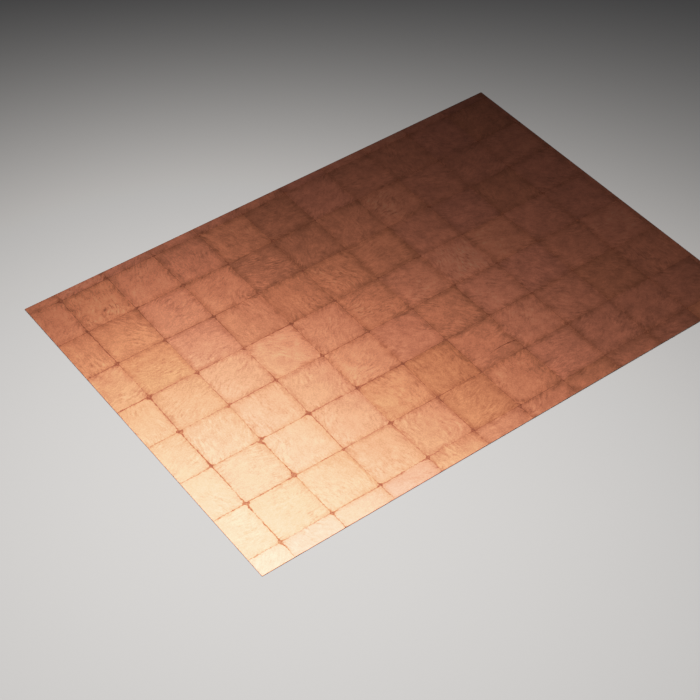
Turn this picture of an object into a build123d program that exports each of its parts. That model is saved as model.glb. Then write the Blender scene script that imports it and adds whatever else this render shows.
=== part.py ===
"""A copper leaf panel: a thin rigid sheet, gilded with square leaves of copper laid in rows.

From the back to the face it is a laminate panel, a red-brown ground coat, a film of gilder's size,
the leaves, and a clear lacquer that covers them and fills the seams between them.
Millimetres. X runs along the panel, Y across it and Z up through its layers, and the origin is at the
centre of the back face, which the panel rests on or is bonded by.
"""

import math
import os

from build123d import *

# The panel, which is as long and as wide as everything laid on it.
panel_length = 1000.0
panel_width = 707.0
panel_thickness = 1.2

# The layers on its face.
ground_thickness = 0.10
film_thickness = 0.05
leaf_thickness = 0.15  # the leaf with the crinkles that it dries in
lacquer_cover = 0.05  # over the top of the leaves

# The leaves.
leaf_side = 93.3  # as the leaf is bought, and the pitch that it is laid at
frayed_edge = 1.25  # what each torn edge of a leaf lacks, on average
torn_corner = 4.0  # radius left at a leaf's corners
first_column = 58.8  # from the panel's left edge to the first seam across it
first_row = 18.5  # from the panel's far edge to the first seam along it

# The height where each layer begins.
ground_bottom = panel_thickness
film_bottom = ground_bottom + ground_thickness
leaf_bottom = film_bottom + film_thickness
lacquer_thickness = leaf_thickness + lacquer_cover

sound_side = leaf_side - 2 * frayed_edge
columns = 1 + math.ceil((panel_length - first_column) / leaf_side)
rows = 1 + math.ceil((panel_width - first_row) / leaf_side)
first_centre_x = -panel_length / 2 + first_column - leaf_side / 2
first_centre_y = panel_width / 2 - first_row + leaf_side / 2


def write(part, name):
    """Labels a finished piece and writes its STEP file."""
    part.label = name
    export_step(part, f"parts/{name}.step")


def leaf_centres(row):
    """The middles of one row's leaves, from the left. A leaf at the panel's edge may reach past it."""
    y = first_centre_y - row * leaf_side
    return [(first_centre_x + column * leaf_side, y) for column in range(columns)]


os.makedirs("parts", exist_ok=True)

with BuildPart() as backing_panel:
    with BuildSketch():
        Rectangle(panel_length, panel_width)
    extrude(amount=panel_thickness)
write(backing_panel.part, "backing_panel")

with BuildPart() as ground_coat:
    with BuildSketch(Plane.XY.offset(ground_bottom)):
        Rectangle(panel_length, panel_width)
    extrude(amount=ground_thickness)
write(ground_coat.part, "ground_coat")

with BuildPart() as size_film:
    with BuildSketch(Plane.XY.offset(film_bottom)):
        Rectangle(panel_length, panel_width)
    extrude(amount=film_thickness)
write(size_film.part, "size_film")

# Each row is one course of leaf, laid from the left. What reaches past the panel's edges is trimmed.
for row in range(rows):
    with BuildPart() as leaf_row:
        with BuildSketch(Plane.XY.offset(leaf_bottom)):
            with Locations(*leaf_centres(row)):
                RectangleRounded(sound_side, sound_side, torn_corner)
            Rectangle(panel_length, panel_width, mode=Mode.INTERSECT)
        extrude(amount=leaf_thickness)
    write(leaf_row.part, f"leaf_row_{row + 1}")

# The lacquer starts as a full layer on the size film, and every leaf then takes its own room in it.
with BuildPart() as clear_lacquer:
    with BuildSketch(Plane.XY.offset(leaf_bottom)):
        Rectangle(panel_length, panel_width)
    extrude(amount=lacquer_thickness)
    with BuildSketch(Plane.XY.offset(leaf_bottom)):
        for row in range(rows):
            with Locations(*leaf_centres(row)):
                RectangleRounded(sound_side, sound_side, torn_corner)
        Rectangle(panel_length, panel_width, mode=Mode.INTERSECT)
    extrude(amount=leaf_thickness, mode=Mode.SUBTRACT)
write(clear_lacquer.part, "clear_lacquer")

print("leaves", rows * columns, "in", rows, "rows of", columns)
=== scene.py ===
# %% [markdown]
# # A copper leaf panel
#
# The object is a thin stiff sheet that a gilder has covered with square leaves of copper. The leaves
# are laid edge to edge, row after row. Each was torn as it was picked up, so its edges are ragged, and
# the red-brown ground that it was laid on shows in the seams.
#
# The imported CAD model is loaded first, because every piece below takes its place from it.

# %% Load the frame
import math
import random

import bmesh
import bpy
from mathutils import Matrix, Vector, noise


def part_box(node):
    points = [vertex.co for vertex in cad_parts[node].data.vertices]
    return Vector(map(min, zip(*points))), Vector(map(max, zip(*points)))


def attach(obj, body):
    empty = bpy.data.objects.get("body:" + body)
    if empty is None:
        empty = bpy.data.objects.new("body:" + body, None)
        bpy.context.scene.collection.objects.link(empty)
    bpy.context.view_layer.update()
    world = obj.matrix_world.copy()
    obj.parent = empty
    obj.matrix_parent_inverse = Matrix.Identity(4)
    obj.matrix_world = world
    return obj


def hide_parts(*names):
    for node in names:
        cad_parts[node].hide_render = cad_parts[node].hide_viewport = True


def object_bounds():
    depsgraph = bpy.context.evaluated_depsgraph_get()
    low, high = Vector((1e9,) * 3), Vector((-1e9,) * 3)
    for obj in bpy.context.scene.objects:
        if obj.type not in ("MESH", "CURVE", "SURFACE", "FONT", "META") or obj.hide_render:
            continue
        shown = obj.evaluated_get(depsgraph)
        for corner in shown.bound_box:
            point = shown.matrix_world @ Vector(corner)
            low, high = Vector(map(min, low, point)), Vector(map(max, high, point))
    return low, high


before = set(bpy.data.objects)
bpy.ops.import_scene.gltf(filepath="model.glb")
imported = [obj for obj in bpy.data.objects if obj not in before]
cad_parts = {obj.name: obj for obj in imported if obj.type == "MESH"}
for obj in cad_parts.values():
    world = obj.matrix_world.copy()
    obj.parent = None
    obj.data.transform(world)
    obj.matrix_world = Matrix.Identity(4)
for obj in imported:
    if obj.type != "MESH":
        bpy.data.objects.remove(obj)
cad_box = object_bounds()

MM = 0.001  # a millimetre, because Blender works in metres here
panel_low, panel_high = cad_box
print("panel, mm:", [round(x / MM, 2) for x in panel_high - panel_low])

# %% [markdown]
# ## Where the leaves lie
#
# A row's place across the panel is the middle of its CAD node's box. Its leaves are separate solids in
# one node, and the only long gaps between neighbouring X values of its corners are the straight edges
# of leaves, so the middle of such a gap is the middle of a leaf. The first and last leaves are cut off
# by the panel's edges, so all places are counted from the second leaf and the second row.

# %% Read the leaf grid off the frame
rows = sorted(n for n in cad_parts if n.startswith("leaf_row_"))
row_middles = [sum(corner.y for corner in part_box(n)) / 2 for n in rows]
pitch = row_middles[1] - row_middles[2]

corner_x = sorted({round(v.co.x, 5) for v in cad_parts[rows[1]].data.vertices})
straight_edges = [(a, b) for a, b in zip(corner_x, corner_x[1:]) if b - a > pitch / 4]
second_leaf = Vector((sum(straight_edges[1]) / 2, row_middles[1], 0))
columns = 2 + math.ceil((panel_high.x - second_leaf.x - pitch / 2) / pitch)

leaf_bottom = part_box(rows[0])[0].z
face_top = panel_high.z  # the lacquer's own face


def leaf_middle(row, column):
    """The middle of a leaf. Rows and columns are counted from 0, from the panel's far left corner."""
    return second_leaf + Vector(((column - 1) * pitch, (1 - row) * pitch, 0))


print("leaf pitch, mm:", round(pitch / MM, 2), "rows:", len(rows), "columns:", columns)
print("leaf layer, mm:", round(leaf_bottom / MM, 2), "to", round(face_top / MM, 2))

# %% [markdown]
# ## Nodes and colours
#
# Every finish below is a node tree. One function adds a node with its settings and its inputs, where an
# input is either a number or another node's output. Colours are written as the sRGB hex values that a
# paint chart gives, and the shader wants them linear.

# %% Helpers for materials
def linear(hex_colour):
    """The linear RGBA of an sRGB colour such as #F39775."""
    parts = [int(hex_colour[i:i + 2], 16) / 255 for i in (1, 3, 5)]
    return [c / 12.92 if c <= 0.04045 else ((c + 0.055) / 1.055) ** 2.4 for c in parts] + [1.0]


def add(tree, kind, inputs=None, **settings):
    """Adds a node. Its inputs are named or numbered, and each is a value or the socket that feeds it."""
    made = tree.nodes.new("ShaderNode" + kind)
    for name, value in settings.items():
        setattr(made, name, value)
    for name, value in (inputs or {}).items():
        if isinstance(value, bpy.types.NodeSocket):
            tree.links.new(value, made.inputs[name])
        else:
            made.inputs[name].default_value = value
    return made


def new_finish(name):
    """An empty material, with the node tree it is built in and its Principled shader."""
    finish = bpy.data.materials.new(name)
    finish.use_nodes = True
    return finish, finish.node_tree, finish.node_tree.nodes["Principled BSDF"]


def per_metre(millimetres):
    """The Scale of a noise whose blobs are about so many millimetres across, in Object coordinates."""
    return 1 / (millimetres * MM)


print("copper's red channel, linear:", round(linear("#F39775")[0], 3))

# %% [markdown]
# ## Copper leaf under clear lacquer
#
# Real copper leaf is beaten to under a thousandth of a millimetre. It is bare metal, so metallic is 1
# and its colour is its reflectance. Laid leaf is never a mirror: it takes the grain of its ground, so
# its shine is a broad satin glow, a roughness a little over 0.4. The colour is redder and deeper than
# that of a polished copper sheet, because light bounces more than once between its small wrinkles. The
# lacquer is a weak coat, and a little smoother than the leaf.
#
# The mesh carries what differs from leaf to leaf, and from place to place on a leaf, as numbers on its
# vertices, and the finish reads them.
#
# - leaf_tone is how bright a leaf is, and leaf_warmth says whether it is golden or pink.
# - wear is high along torn edges and at leaf corners. Partly the leaf there is thin, doubled or dusty and
#   looks browner, and partly it is painted shade of edges that curl down and corners that round over.
# - torn_edge_and_rim_shade is high in a narrower band, where crumbs are missing, and along the panel's far
#   and right-hand edges, where it paints a dark line of shade.
# - crinkled_part is high in the parts of a leaf that landed badly.
# - contrast is how strongly the patterns show, which is less where leaves were pressed flatter.
#
# stroke_place is a position that is turned and stretched along the gilder's brush strokes, so noise
# that is read from it comes out as feathery strokes.

# %% What the finish reads from a leaf
copper_leaf, tree, shader = new_finish("copper_leaf_laid_and_lacquered")

number_names = ("leaf_tone", "leaf_warmth", "wear_and_edge_shade", "torn_edge_and_rim_shade", "crinkled_part", "contrast")
told = {name: add(tree, "Attribute", attribute_name=name).outputs["Fac"] for name in number_names}
stroke_place = add(tree, "Attribute", attribute_name="stroke_place").outputs["Vector"]
place = add(tree, "TexCoord").outputs["Object"]
print("numbers on each vertex:", len(number_names))

# %% [markdown]
# ### Patterns of the leaf
#
# Clouds 28 mm across, strokes 5 mm across and a grain of 2.2 mm each make the metal a few percent lighter
# and darker. Real grain is finer still, and this is as coarse as it needs to be to show. The strokes stand
# out in patches 45 mm across, where the leaf stayed crinkled, and are faint between them. In those patches
# they are painted highlight and shade of the wrinkles' ridges, over the leaf's own tone. A leaf that landed
# badly has finer ripples as well, 2.8 mm across, and these are painted highlight and shade too.
#
# All the patterns add up to one swing, which the contrast scales. Noise swings about 0.5, so it is
# centred on 0 before it is multiplied, and for the clouds and the grain the sum starts that much lower.

# %% Patterns of the leaf
clouds = add(tree, "TexNoise", {"Vector": place, "Scale": per_metre(28), "Detail": 2.0,
                                "Roughness": 0.8}).outputs["Fac"]
strokes = add(tree, "TexNoise", {"Vector": stroke_place, "Scale": per_metre(5), "Detail": 2.0,
                                 "Roughness": 0.75}).outputs["Fac"]
ripples = add(tree, "TexNoise", {"Vector": stroke_place, "Scale": per_metre(2.8),
                                 "Detail": 1.0}).outputs["Fac"]
grain = add(tree, "TexNoise", {"Vector": place, "Scale": per_metre(2.2), "Detail": 1.0}).outputs["Fac"]
patches = add(tree, "TexNoise", {"Vector": place, "Scale": per_metre(45), "Detail": 2.0}).outputs["Fac"]

# Painted highlight and shade: in these crinkled patches the strokes are made stronger, to paint the glints
# and shade of the wrinkles' ridges into the colour.
crinkle = add(tree, "MapRange", {"Value": patches, "From Min": 0.42, "From Max": 0.62,
                                 "To Min": 0.35, "To Max": 1.5}).outputs[0]
streaks_and_crinkle_glints = add(tree, "Math", {0: strokes, 1: 0.5}, operation="SUBTRACT").outputs[0]
streaks_and_crinkle_glints = add(tree, "Math", {0: streaks_and_crinkle_glints, 1: crinkle}, operation="MULTIPLY").outputs[0]
# Painted highlight and shade: finer ripples on the crinkled parts of a leaf, painted into the colour.
painted_ripple_glints = add(tree, "Math", {0: ripples, 1: 0.5}, operation="SUBTRACT").outputs[0]
painted_ripple_glints = add(tree, "Math", {0: painted_ripple_glints, 1: told["crinkled_part"]}, operation="MULTIPLY").outputs[0]

cloud_strength, grain_strength = 0.55, 0.60
patterns = ((streaks_and_crinkle_glints, 0.85), (painted_ripple_glints, 0.80), (clouds, cloud_strength), (grain, grain_strength))
swing = -(cloud_strength + grain_strength) / 2
for pattern, strength in patterns:
    swing = add(tree, "Math", {0: pattern, 1: strength, 2: swing}, operation="MULTIPLY_ADD").outputs[0]
gain = add(tree, "Math", {0: swing, 1: told["contrast"], 2: 1.0}, operation="MULTIPLY_ADD").outputs[0]
gain = add(tree, "Math", {0: gain, 1: told["leaf_tone"]}, operation="MULTIPLY").outputs[0]
print("patterns in the copper leaf:", len(patterns))

# %% [markdown]
# ### Colour of the leaf
#
# Three colours are mixed over one another: the metal itself, from pink to gold, a browner metal along the
# edges and at the corners, broken up by the strokes, and dots of the ground where crumbs are missing. The
# browner edges are partly worn leaf and partly painted shade of edges that curl down and corners that round
# over. Along the panel's far and right-hand edges the dots are a painted line of shade. The sum of the
# patterns, partly painted highlight and shade of wrinkles, then scales the result.

# %% Colour of the leaf
metal = add(tree, "Mix", {0: told["leaf_warmth"], 6: linear("#F19477"), 7: linear("#F19569")},
            data_type="RGBA").outputs[2]

flecks = add(tree, "MapRange", {"Value": strokes, "From Min": 0.35, "From Max": 0.65,
                                "To Min": 1.3, "To Max": 0.7}).outputs[0]
worn_and_shaded = add(tree, "Math", {0: told["wear_and_edge_shade"], 1: flecks}, operation="MULTIPLY", use_clamp=True).outputs[0]
# Painted shade, in part: the browner metal along edges and at corners is worn leaf, and also painted shade
# of edges that curl down and corners that round over.
metal = add(tree, "Mix", {0: worn_and_shaded, 6: metal, 7: linear("#A5603F")}, data_type="RGBA").outputs[2]

dots = add(tree, "TexNoise", {"Vector": place, "Scale": per_metre(3.2), "Detail": 1.0}).outputs["Fac"]
near = add(tree, "Math", {0: told["torn_edge_and_rim_shade"], 1: 0.60, 2: dots}, operation="MULTIPLY_ADD").outputs[0]
# Painted shade, in part: besides the missing crumbs, these dots make a dark line along the panel's far and
# right-hand edges. That line is painted shade, where the panel's edge meets the floor.
missing_crumbs_and_rim_shade = add(tree, "MapRange", {"Value": near, "From Min": 1.04, "From Max": 1.16,
                                 "To Max": 0.8}).outputs[0]
metal = add(tree, "Mix", {0: missing_crumbs_and_rim_shade, 6: metal, 7: linear("#9A5A42")}, data_type="RGBA").outputs[2]

scaled = add(tree, "VectorMath", {0: metal, "Scale": gain}, operation="SCALE")
tree.links.new(scaled.outputs[0], shader.inputs["Base Color"])
shader.inputs["Metallic"].default_value = 1.0
print("base colour comes from:", shader.inputs["Base Color"].links[0].from_node.bl_label)

# %% [markdown]
# ### Shine of the leaf
#
# The clouds make the satin a little rougher and smoother, and the strokes are a faint relief.

# %% Shine of the leaf
rough = add(tree, "MapRange", {"Value": clouds, "From Min": 0.3, "From Max": 0.7,
                               "To Min": 0.42, "To Max": 0.445})
tree.links.new(rough.outputs[0], shader.inputs["Roughness"])
relief = add(tree, "Bump", {"Height": strokes, "Strength": 0.5, "Distance": 0.08 * MM})
tree.links.new(relief.outputs[0], shader.inputs["Normal"])
shader.inputs["Coat Weight"].default_value = 0.35
shader.inputs["Coat Roughness"].default_value = 0.32
print("nodes in the copper leaf:", len(tree.nodes))

# %% [markdown]
# ## Red-brown ground
#
# Under the leaf lies a coat of red-brown paint. Skewings, the crumbs of leaf that break off at the seams,
# are brushed into it while the size is wet, so a seam isn't matt paint: it glints like dark copper.
# That is a shader that is mostly metal, in a dark red, and a little rougher than the leaf. The crumbs
# are 3 mm across, and are lighter, smoother and a little raised.

# %% Red-brown ground
red_ground, tree, shader = new_finish("red_brown_ground_with_skewings")

place = add(tree, "TexCoord").outputs["Object"]
crumbs = add(tree, "TexNoise", {"Vector": place, "Scale": per_metre(3), "Detail": 4.0,
                                "Roughness": 0.6}).outputs["Fac"]
share = add(tree, "MapRange", {"Value": crumbs, "From Min": 0.42, "From Max": 0.72}).outputs[0]
mixed = add(tree, "Mix", {0: share, 6: linear("#854A35"), 7: linear("#BF7454")}, data_type="RGBA")
tree.links.new(mixed.outputs[2], shader.inputs["Base Color"])
rough = add(tree, "MapRange", {"Value": crumbs, "To Min": 0.54, "To Max": 0.46})
tree.links.new(rough.outputs[0], shader.inputs["Roughness"])
relief = add(tree, "Bump", {"Height": crumbs, "Strength": 0.5, "Distance": 0.05 * MM})
tree.links.new(relief.outputs[0], shader.inputs["Normal"])
shader.inputs["Metallic"].default_value = 0.9
print("nodes in the ground:", len(tree.nodes))

# %% [markdown]
# ## Phenolic laminate
#
# The panel is kraft paper pressed with phenolic resin. It is a dark grey brown, and its back is sanded
# for glue, which leaves fine scratches along its length. The scratches are noise stretched along X:
# 40 mm long and half a millimetre apart. Under them the resin is mottled, in blots 25 mm across.

# %% Laminate
laminate, tree, shader = new_finish("phenolic_laminate_with_sanded_back")
scratch_gap, scratch_length = 0.5, 40  # millimetres

place = add(tree, "TexCoord").outputs["Object"]
stretched = add(tree, "Mapping", {"Vector": place, "Scale": (scratch_gap / scratch_length, 1.0, 1.0)})
scratches = add(tree, "TexNoise", {"Vector": stretched.outputs[0], "Scale": per_metre(scratch_gap),
                                   "Detail": 2.0}).outputs["Fac"]
mottle = add(tree, "TexNoise", {"Vector": place, "Scale": per_metre(25), "Detail": 4.0}).outputs["Fac"]
both = add(tree, "Math", {0: scratches, 1: mottle}, operation="ADD").outputs[0]
share = add(tree, "MapRange", {"Value": both, "From Min": 0.75, "From Max": 1.25}).outputs[0]
mixed = add(tree, "Mix", {0: share, 6: linear("#28221F"), 7: linear("#40362F")}, data_type="RGBA")
tree.links.new(mixed.outputs[2], shader.inputs["Base Color"])
rough = add(tree, "MapRange", {"Value": scratches, "To Min": 0.45, "To Max": 0.7})
tree.links.new(rough.outputs[0], shader.inputs["Roughness"])
relief = add(tree, "Bump", {"Height": scratches, "Strength": 0.4, "Distance": 0.05 * MM})
tree.links.new(relief.outputs[0], shader.inputs["Normal"])

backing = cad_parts["backing_panel"]
backing.data.materials.clear()
backing.data.materials.append(laminate)
print("backing panel keeps its CAD mesh, with", len(backing.data.polygons), "faces")

# %% [markdown]
# ## The ground as a piece
#
# The CAD has the ground and the film of size on it as two flat slabs. They are seen only through the
# seams, as one surface, so one piece stands for both. It is a grid whose face is pushed about by a few
# hundredths of a millimetre, as brushed paint dries, and its border is extruded down to close it.
#
# The lacquer fills the seams nearly level, so a torn edge makes no step that could catch the light. The
# face of the ground is raised a little inside the seams for that reason, and the leaves lie on it.

# %% Closing and naming a piece
def close_below(bm, bottom):
    """Extrudes the border of an open face down to a flat underside and closes it with one face."""
    border = [e for e in bm.edges if e.is_boundary]
    for edge in border:
        edge.smooth = False  # so that the face's shading doesn't round over its edge
    made = bmesh.ops.extrude_edge_only(bm, edges=border)["geom"]
    for vert in (x for x in made if isinstance(x, bmesh.types.BMVert)):
        vert.co.z = bottom
    rim = [x for x in made if isinstance(x, bmesh.types.BMEdge) and x.is_boundary]
    under = bmesh.ops.contextual_create(bm, geom=rim)["faces"]
    bmesh.ops.recalc_face_normals(bm, faces=bm.faces)
    return under


def new_piece(name, bm, finish, slot, *nodes):
    """Makes a bmesh into a piece on the one body, standing for those CAD nodes."""
    mesh = bpy.data.meshes.new(name)
    bm.to_mesh(mesh)
    bm.free()
    mesh.materials.append(finish)
    piece = bpy.data.objects.new(name, mesh)
    bpy.context.scene.collection.objects.link(piece)
    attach(piece, "root")
    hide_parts(*nodes)
    return piece


# %% Ground piece
ground_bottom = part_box("ground_coat")[0].z
ground_top = leaf_bottom + 0.08 * MM
brush_relief = 0.02 * MM
brush_marks = (40, 120)  # how many lie along the panel and across it

bm = bmesh.new()
bmesh.ops.create_grid(bm, x_segments=160, y_segments=113, size=0.5)  # cells of about 6 mm
size = panel_high - panel_low
for vert in bm.verts:
    lift = noise.noise(Vector((vert.co.x * brush_marks[0], vert.co.y * brush_marks[1], 0)))
    vert.co = Vector((vert.co.x * size.x, vert.co.y * size.y, ground_top - brush_relief * (1 + lift)))
close_below(bm, ground_bottom)
ground = new_piece("ground_and_size", bm, red_ground, "red_brown_ground", "ground_coat", "size_film")
print("ground faces:", len(ground.data.polygons))

# %% [markdown]
# ## How a leaf is torn
#
# A leaf starts as a square grid. Three moves turn it into a torn one.
#
# 1. Its corners are rounded. The square corner block is squeezed onto a quarter disc, which keeps the
#    grid in order and has a smooth formula.
# 2. Its edges stand back from the line they were torn to, by an amount that wanders along the edge and
#    flares out at its ends. The move fades out over the next few millimetres, so no cell folds over.
# 3. The whole grid is pulled by a slow field that depends on the place on the panel alone. Neighbouring
#    leaves feel the same pull where they meet, so the seam bends but keeps its width.

# %% Noise and rounded corners
half_side = pitch / 2


def smooth_step(x):
    """0 below 0, 1 above 1, and a soft rise between them."""
    x = min(1.0, max(0.0, x))
    return x * x * (3 - 2 * x)


def wobble(x, y, seed):
    """Smooth noise from about -1 to 1. The seed picks one of many unlike sheets of it."""
    return 1.6 * noise.noise(Vector((x, y, 17.31 * seed)))


def rounded(offset, radius):
    """A point of the leaf, from its middle, after the corner that it is in is rounded off. The radius
    may differ a little from point to point, which makes the corner ragged."""
    inner = half_side - radius
    p = [max(0.0, abs(c) - inner) / radius for c in offset]
    if p[0] > 0 and p[1] > 0:
        p = [p[0] * math.sqrt(1 - p[1] ** 2 / 2), p[1] * math.sqrt(1 - p[0] ** 2 / 2)]
        return [math.copysign(inner + c * radius, o) for c, o in zip(p, offset)]
    return list(offset)


print("corner block test, mm:", [round(c / MM, 2) for c in rounded((half_side, half_side), 4 * MM)])

# %% Torn edges and bent seams
fade = 7 * MM  # how far into a leaf the pull of its torn edge reaches
slow_length, quick_length, frayed_length = 22 * MM, 7 * MM, 3 * MM  # over which an edge wanders
flare_length = 6.5 * MM  # how far from its end an edge flares out

seam_wander = 1.3 * MM
wander_length = 150 * MM
bulge_at = leaf_middle(6, 6) + Vector((half_side, 0.1 * half_side, 0))  # a leaf that slid as it was laid
bulge_depth = 4 * MM
bulge_reach = 20 * MM


def lapped(place):
    """0 at the near left, where the leaves only just meet, to 1 at the far right, where they lap over."""
    return smooth_step(0.6 + 1.0 * place.x + 0.6 * place.y)


def stand_back(along, seed, mean):
    """How far a torn edge lies inside its line, in metres, at a place along the edge."""
    slow = wobble(along / slow_length, 0, seed)
    quick = wobble(along / quick_length, 9, seed) + 0.35 * wobble(along / frayed_length, 4, seed)
    arm = 1 + 1.1 * wobble(math.copysign(2.3, along), 5.7, seed)  # each end of an edge is torn more or less
    flare = 2.2 * max(0.2, arm) * math.exp(-(half_side - abs(along)) / flare_length)
    return max(0.02 * MM, mean * (1 + 1.1 * slow + (1.1 + 1.2 * flare) * quick + flare))


def seam_pull(place):
    """The slow sideways wander of the seams, as a shift of a point of the panel."""
    x, y = place.x / wander_length, place.y / wander_length
    shift = Vector((seam_wander * wobble(x, y, 3), seam_wander * wobble(x, y, 5), 0))
    shift.x -= bulge_depth * math.exp(-((place.xy - bulge_at.xy).length / bulge_reach) ** 2)
    return shift


print("bulge at, mm:", [round(c / MM) for c in bulge_at.xy])

# %% [markdown]
# ## How a leaf lies
#
# Leaf is so thin that it wrinkles as it lands on the size and the brush presses the wrinkles flat. What
# is left are feathery ridges a few millimetres apart and a few hundredths of a millimetre high. They
# run one way in each leaf, and swirl. One function turns a place on the panel into a place along and
# across the strokes. The ridges are noise read there, and the finish reads the same places.

# %% Strokes and wrinkles
stroke_stretch = 0.33  # a stroke is this much as wide as it is long
stroke_bend = 7 * MM  # how far the strokes are bent out of straight
bend_length = 45 * MM
ridge_spacing = 5 * MM
ridge_height = 0.022 * MM
crumple_size = 9 * MM


def along_the_strokes(place, heading, seed):
    """A place on the panel, bent, turned to the leaf's heading, and squeezed along the strokes. Its
    height is the leaf's own, so no two leaves read the same noise."""
    x, y = (place[k] + stroke_bend * wobble(place.x / bend_length, place.y / bend_length, seed + 0.3 + k)
            for k in (0, 1))
    along = x * math.cos(heading) + y * math.sin(heading)
    across = y * math.cos(heading) - x * math.sin(heading)
    return Vector((along * stroke_stretch, across, seed * 0.05))


def wrinkles(stroke, place, seed):
    """The height of the wrinkles at a place on the panel, in metres."""
    ridges = wobble(stroke.x / ridge_spacing, stroke.y / ridge_spacing, seed + 1)
    crumple = wobble(place.x / crumple_size, place.y / crumple_size, seed + 2)
    return ridge_height * (0.6 * ridges + 0.6 * crumple)


print("wrinkle slope, about:", round(math.degrees(4 * ridge_height / ridge_spacing), 2), "degrees")

# %% [markdown]
# ## What differs from leaf to leaf
#
# No two leaves are alike. Most differences are drawn at random, from a seed that is the leaf's own. A
# few leaves came from a duller or a brighter book, or from one that is more golden or rosier, and a few
# landed badly and stayed crinkled. Each is named by its row and column, counted from 0.
#
# The two sides of a seam share one width, and the four corners at a crossing share one radius, so these
# are drawn from a seed that the neighbours share too.

# %% Leaves of their own kind
leaves_of_tone = {
    0.82: {(1, 5), (2, 4), (2, 5), (8, 9)},
    0.90: {(3, 1), (3, 2), (3, 3), (3, 4), (4, 1), (6, 1), (6, 9), (7, 5), (7, 8), (7, 9), (7, 10),
           (8, 6), (8, 7), (8, 8)},
    0.95: {(2, 1), (3, 8), (3, 9), (5, 0), (5, 1), (6, 0), (6, 5), (7, 1), (8, 5)},
    1.09: {(1, 0), (1, 1), (1, 2), (2, 7), (2, 10), (4, 3), (4, 6), (4, 8), (5, 4), (5, 7), (5, 10),
           (6, 2), (6, 7), (8, 0)},
    1.18: {(0, 1), (0, 7), (0, 8), (0, 9), (4, 7)},
}
tone_of = {leaf: tone for tone, leaves in leaves_of_tone.items() for leaf in leaves}
crinkled = {(1, 1), (2, 4), (2, 7), (3, 5), (4, 5), (4, 7), (6, 10)}
golden = {(1, 1), (2, 4), (3, 1), (3, 4), (3, 5), (5, 6), (6, 5), (7, 5)}
rosy = {(0, 2), (0, 3), (0, 6), (0, 8), (1, 6), (4, 2), (5, 8), (5, 10), (6, 2), (7, 10),
        (8, 0), (8, 1), (8, 2), (8, 3), (8, 9)}
print("leaves with a tone of their own:", len(tone_of), "crinkled leaves:", len(crinkled))

# %% Facts about one leaf
crinkled_lift = 1.5  # how much higher the wrinkles of a crinkled leaf are


def seam_gap(kind, row, column):
    """How far the edges along one piece of seam stand back, on average. Some are tight and some open."""
    open_by = random.Random(f"{kind} {row} {column}").uniform(0.1, 0.65) * MM
    return open_by * (1 - 0.8 * lapped(leaf_middle(row, column)))


def corner_radius(row, column):
    """How round the four leaf corners are where two seams cross, at a leaf's near right corner."""
    crossing = leaf_middle(row, column) + Vector((half_side, -half_side, 0))
    drawn = random.Random(f"crossing {column} {row}").uniform(0, 3)
    return (2.5 + 4.0 * (1 - lapped(crossing)) + drawn) * MM


def leaf_facts(row, column):
    """Everything that is random or special about one leaf."""
    leaf = (row, column)
    seed = row * 40 + column * 3 + 1
    chance = random.Random(seed)
    leaning = 0.30 * ((leaf in golden) - (leaf in rosy))
    leaning += 0.25 * (1 - lapped(leaf_middle(row, column)))
    return {
        "seed": seed,
        "heading": chance.uniform(0, math.pi),
        "tone": tone_of.get(leaf, 1.0) * chance.uniform(0.98, 1.02),
        "brighter_side": Vector((chance.uniform(-0.04, 0.04), chance.uniform(-0.04, 0.04), 0)),
        "warmth": chance.uniform(0.22, 0.67) + leaning,
        "crinkle": crinkled_lift if leaf in crinkled else 0.0,
        "radii": {(i, j): chance.uniform(0.35, 1.5) * corner_radius(row - (j > 0), column - (i < 0))
                  for i in (-1, 1) for j in (-1, 1)},
        "gaps": (seam_gap("left", row, column), seam_gap("left", row, column + 1),
                 seam_gap("far", row + 1, column), seam_gap("far", row, column)),
    }


print("a corner's radius, mm:", round(corner_radius(6, 1) / MM, 1))

# %% [markdown]
# ## One torn leaf
#
# In one leaf near the middle, a slit was torn in from the right-hand edge. The grid's edges along the
# slit are split, and its two lips are pulled apart by a width that grows towards the leaf's own edge.

# %% The slit
slit_leaf = (6, 6)
slit_start = Vector((-0.34, -0.5, 0)) * half_side  # from the leaf's middle, where the slit ends inside
slit_width = 4.2 * MM
slit_rise = 6 * MM  # the slit curves up by half of this on its way in
slit_wander = 6 * MM  # the length over which its width varies
lip_reach = 9 * MM


def split_along_slit(bm, cell):
    """Opens the grid along the slit's row of edges and says which vertices are on its upper lip."""
    height = round(slit_start.y / cell) * cell

    def on_line(vert):
        return abs(vert.co.y - height) < cell / 4 and vert.co.x > slit_start.x - cell / 2

    bmesh.ops.split_edges(bm, edges=[e for e in bm.edges if all(on_line(v) for v in e.verts)])
    on_either_lip = [v for v in bm.verts if on_line(v)]
    upper = {v for v in on_either_lip if all(f.calc_center_median().y > height for f in v.link_faces)}
    return height, upper


def open_slit(x, y, height, on_upper_lip):
    """The shift across the slit of a point near it, in metres."""
    share = (x - slit_start.x) / (half_side - slit_start.x)
    if share <= 0 or abs(y - height) > lip_reach:
        return 0.0
    side = 1 if on_upper_lip or y > height + 0.001 * MM else -1
    fall = (1 - abs(y - height) / lip_reach) ** 2
    width = slit_width * share * (0.7 + 0.3 * wobble(x / slit_wander, 0, 77))
    return fall * (side * width / 2 + slit_rise * (math.sin(math.pi * share) * 0.5))


print("slit, mm:", round((half_side - slit_start.x) / MM, 1), "long")

# %% [markdown]
# ## Making one leaf
#
# The grid's vertices are moved one by one through the steps above, and the numbers that the finish reads
# are stored on them. What reaches past the panel is then cut off with bisect_plane. The border of what
# is left is extruded down to the ground and closed. Each leaf gets its own rectangle of the UV map.

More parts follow.
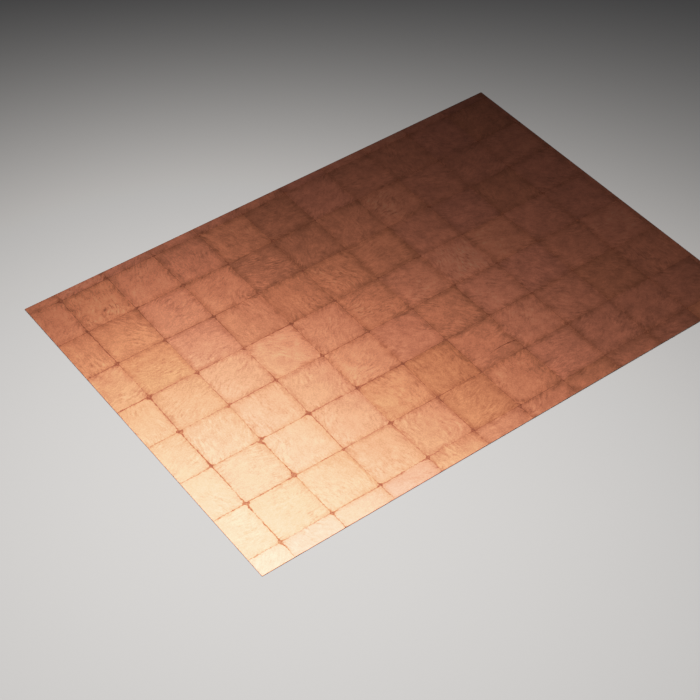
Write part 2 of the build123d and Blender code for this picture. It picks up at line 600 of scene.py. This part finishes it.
# %% Where a point of a leaf ends up
def torn_place(x, y, facts):
    """Where a point of the square leaf ends up, from the leaf's middle, and how near an edge it was."""
    corner = facts["radii"][(1 if x > 0 else -1, 1 if y > 0 else -1)]
    ragged = 1 + 0.5 * wobble(x / (4 * MM), y / (4 * MM), facts["seed"])
    px, py = rounded((x, y), corner * ragged)
    edges = ((half_side + x, y, 1, 0), (half_side - x, y, -1, 0),
             (half_side + y, x, 0, 1), (half_side - y, x, 0, -1))
    for k, (inward, along, dx, dy) in enumerate(edges):
        if inward < fade:
            back = stand_back(along, facts["seed"] + 0.21 * k, facts["gaps"][k]) * (1 - inward / fade) ** 2
            px, py = px + dx * back, py + dy * back
    return px, py, min(e[0] for e in edges)


corner_of_leaf = torn_place(half_side, half_side, leaf_facts(6, 1))[:2]
print("a leaf's corner is torn back by, mm:", [round((half_side - c) / MM, 1) for c in corner_of_leaf])

# %% [markdown]
# The wear is a soft darker band along each edge and a soft darker spot at each corner. Partly it is browner
# worn leaf, and partly it is painted shade of edges that curl down and of corners that round over like a
# pillow. It is broken into patches, and is widest and darkest where leaves begin to lap over. Crumbs are
# missing along the open seams. Along the far and right-hand edges of the panel the dots are packed into a
# painted dark line of shade, where the panel's edge meets the floor.

# %% What the finish is told at a point
crinkle_margin = 15 * MM  # a crinkled leaf still lies flat at its edges
crumb_reach = 3 * MM  # how far from a torn edge crumbs are missing


def near_zero(distance, reach):
    """1 at no distance, fading softly to 0 by about twice the reach."""
    return math.exp(-(distance / reach) ** 2)


def numbers_at(x, y, place, nearest, facts):
    """The numbers that the finish reads at a point of a leaf."""
    lap = lapped(place)
    corner = math.hypot(half_side - abs(x), half_side - abs(y))
    to_border = min(panel_high.x - place.x, panel_high.y - place.y)
    patchy = 1 + 0.5 * wobble(place.x / (14 * MM), place.y / (14 * MM), 11)
    # Painted shade, in part: the band along each torn edge is browner worn leaf and also painted shade
    # where the leaf curls down. The spot at each corner is painted shade of the leaf rounding over.
    worn_and_shaded_edge = near_zero(nearest, (6.5 + 2.5 * lap) * MM) * (0.22 + 0.60 * lap * (1 - lap))
    crumpled = smooth_step(0.5 + 1.2 * wobble(place.x / (30 * MM), place.y / (30 * MM), facts["seed"] + 7))
    return {
        "leaf_tone": facts["tone"] + facts["brighter_side"].dot(Vector((x, y, 0))) / half_side,
        "leaf_warmth": facts["warmth"],
        "wear_and_edge_shade": patchy * (worn_and_shaded_edge + 0.10 * near_zero(corner, 13 * MM)),
        # Painted shade: the second term darkens the last few millimetres along the panel's far and
        # right-hand edges, where its edge meets the floor.
        "torn_edge_and_rim_shade": max(near_zero(nearest, crumb_reach) * (1 - lap), 1.3 * near_zero(to_border, 1.8 * MM)),
        "crinkled_part": facts["crinkle"] * smooth_step(nearest / crinkle_margin) * crumpled,
        "contrast": 1.1 - 0.4 * lap ** 2,
    }


print("torn_edge_and_rim_shade at 0, 2 and 4 mm:", [round(near_zero(d * MM, crumb_reach), 2) for d in (0, 2, 4)])

# %% Make a leaf
cells = 76  # along a leaf's side, so a cell is 1.2 mm
leaf_middle_height = ground_top + 0.055 * MM
lowest = ground_top + 0.01 * MM  # so that no wrinkle dips into the ground
maps_across, maps_up, margin = 4, 3, 0.01  # a row's leaves on its UV map


def map_leaf(bm, maps, column):
    """Lays the leaf out on its own rectangle of the row's UV map."""
    from_left, from_below = column % maps_across, column // maps_across
    for face in bm.faces:
        for loop in face.loops:
            across, up = (margin + (1 - 2 * margin) * (c / half_side + 1) / 2 for c in loop.vert.co.xy)
            loop[maps].uv = ((from_left + across) / maps_across, (from_below + up) / maps_up)


def trim_to_panel(bm):
    """Cuts off what reaches past the panel."""
    for axis in (0, 1):
        for sign, limit in ((1, panel_high), (-1, panel_low)):
            normal = Vector((0, 0, 0))
            normal[axis] = sign
            bmesh.ops.bisect_plane(bm, geom=bm.verts[:] + bm.edges[:] + bm.faces[:], plane_co=limit,
                                   plane_no=normal, clear_outer=True, dist=1e-7)


def lay_leaf(row, column):
    """One leaf as a bmesh, cut to the panel."""
    facts = leaf_facts(row, column)
    middle = leaf_middle(row, column)
    bm = bmesh.new()
    bmesh.ops.create_grid(bm, x_segments=cells, y_segments=cells, size=half_side)
    number = {name: bm.verts.layers.float.new(name) for name in number_names}
    strokes_layer = bm.verts.layers.float_vector.new("stroke_place")
    maps = bm.loops.layers.uv.new("OFBake")
    map_leaf(bm, maps, column)

    slit, upper_lip = None, set()
    if (row, column) == slit_leaf:
        slit, upper_lip = split_along_slit(bm, 2 * half_side / cells)

    for vert in bm.verts:
        x, y = vert.co.xy
        px, py, nearest = torn_place(x, y, facts)
        if slit is not None:
            py += open_slit(x, y, slit, vert in upper_lip)
        place = middle + Vector((px, py, 0))
        place += seam_pull(place)
        for name, value in numbers_at(x, y, place, nearest, facts).items():
            vert[number[name]] = value
        stroke = along_the_strokes(place, facts["heading"], facts["seed"])
        vert[strokes_layer] = stroke
        lift = 1 + facts["crinkle"] * smooth_step(nearest / crinkle_margin)
        height = leaf_middle_height + lift * wrinkles(stroke, place, facts["seed"])
        place.z = min(face_top, max(lowest, height))
        vert.co = place

    trim_to_panel(bm)
    face_up = set(bm.faces)
    under = close_below(bm, ground_top)
    for face in bm.faces:
        if face not in face_up:
            face.material_index = 1
    unseen = ((column % maps_across) / maps_across + 0.001, (column // maps_across) / maps_up + 0.001)
    for face in under:
        for loop in face.loops:
            loop[maps].uv = unseen
    return bm


print("a cell of a leaf, mm:", round(pitch / cells / MM, 2))

# %% [markdown]
# ## Laying the rows
#
# Each row is one piece with its leaves as separate closed shells, as in the CAD. All rows together stand
# for the lacquer too, which is the coat in their finish. Only the faces that look up are shaded smooth,
# and the torn sides are in the ground's finish, which is all that shows of them.

# %% Rows
total = 0
for row, node in enumerate(rows):
    whole = bmesh.new()
    for column in range(columns):
        leaf = lay_leaf(row, column)
        mesh = bpy.data.meshes.new("leaf")
        leaf.to_mesh(mesh)
        leaf.free()
        whole.from_mesh(mesh)
        bpy.data.meshes.remove(mesh)
    piece = new_piece("copper_" + node, whole, copper_leaf, "copper_leaf", node, "clear_lacquer")
    piece.data.materials.append(red_ground)
    for face in piece.data.polygons:
        face.use_smooth = face.normal.z > 0.5
    total += len(piece.data.polygons)
    print(piece.name, "faces:", len(piece.data.polygons))
print("faces in all rows:", total)

# %% [markdown]
# ## Floor
#
# The panel lies on a plain light grey surface, as seamless studio paper. It is far larger than the panel,
# so that no edge of it comes into view, and a hair below it, so that the two don't share a plane.

# %% Floor
paper, tree, shader = new_finish("seamless_studio_paper")
shader.inputs["Base Color"].default_value = linear("#B9B6B3")
shader.inputs["Roughness"].default_value = 0.9
shader.inputs["Specular IOR Level"].default_value = 0.1

half_floor = 10.0
bm = bmesh.new()
bmesh.ops.create_grid(bm, x_segments=1, y_segments=1, size=half_floor)
mesh = bpy.data.meshes.new("floor")
bm.to_mesh(mesh)
bm.free()
mesh.materials.append(paper)
floor = bpy.data.objects.new("floor", mesh)
floor.location.z = panel_low.z - 0.05 * MM
bpy.context.scene.collection.objects.link(floor)
print("floor, m:", [round(x, 1) for x in floor.dimensions])

# %% [markdown]
# ## Light
#
# One large softbox stands over the panel and leans towards the viewer's side, so its glow lies on the
# near left corner and fades across the sheet. The room around is nearly dark. Its faint blue grey is
# all that the far corner reflects.

# %% Softbox
box_at = Vector((-0.35, -0.20, 1.31))
box_towards = Vector((-0.97, -1.09, 0))
box_turn = -0.59  # radians, about the line that it faces along

lamp = bpy.data.lights.new("main_softbox", "AREA")
lamp.shape = "RECTANGLE"
lamp.size, lamp.size_y = 1.50, 1.40
lamp.energy = 43.5
softbox = bpy.data.objects.new("main_softbox", lamp)
facing = (box_towards - box_at).to_track_quat("-Z", "Y").to_matrix().to_4x4()
softbox.rotation_euler = (facing @ Matrix.Rotation(box_turn, 4, "Z")).to_euler()
softbox.location = box_at
softbox.visible_camera = False
bpy.context.scene.collection.objects.link(softbox)
print("softbox, m:", [round(x, 2) for x in (lamp.size, lamp.size_y)], "at", [round(x, 2) for x in box_at])

# %% Room
room = bpy.data.worlds.new("dim_room")
room.use_nodes = True
around = room.node_tree.nodes["Background"]
around.inputs["Color"].default_value = linear("#D4E4FF")
around.inputs["Strength"].default_value = 0.025
bpy.context.scene.world = room

# %% [markdown]
# ## Camera
#
# A long lens from three metres away, a little over 45 degrees up. It looks at a point just short of the
# panel's middle.

# %% Camera
azimuth, elevation = math.radians(-36.89), math.radians(45.35)
distance = 3.012
aim = Vector((-0.0976, -0.0685, 0))
away = Vector((math.sin(azimuth) * math.cos(elevation), -math.cos(azimuth) * math.cos(elevation),
               math.sin(elevation)))

lens = bpy.data.cameras.new("camera")
lens.lens = 93.52
lens.sensor_width = 36
lens.shift_x = -0.0206
camera = bpy.data.objects.new("camera", lens)
camera.location = aim + distance * away
camera.rotation_euler = (-away).to_track_quat("-Z", "Y").to_euler()
bpy.context.scene.collection.objects.link(camera)
bpy.context.scene.camera = camera
print("camera stands at, m:", [round(x, 3) for x in camera.location])

# %% [markdown]
# ## Response
#
# Display light follows scene light up to mid grey, then bends over gently, so the glow on the metal keeps
# its colour up to more than four times white.

# %% Response curve
brightest = 4.5  # the scene light that is shown as full white
bends = ((0.15, 0.15), (0.3, 0.3), (0.45, 0.45), (0.6, 0.555), (0.73, 0.63), (0.91, 0.73),
         (1.11, 0.784), (1.45, 0.89), (2.2, 0.955), (3.0, 0.975))  # scene light, and how it is shown

view = bpy.context.scene.view_settings
view.view_transform = "Standard"
view.look = "None"
view.use_curve_mapping = True
mapping = view.curve_mapping
mapping.white_level = (brightest, brightest, brightest)
curve = mapping.curves[3]
for light, shown in bends:
    curve.points.new(light / brightest, shown)
for point in curve.points:
    point.handle_type = "VECTOR"
mapping.update()
print("points on the curve:", len(curve.points))
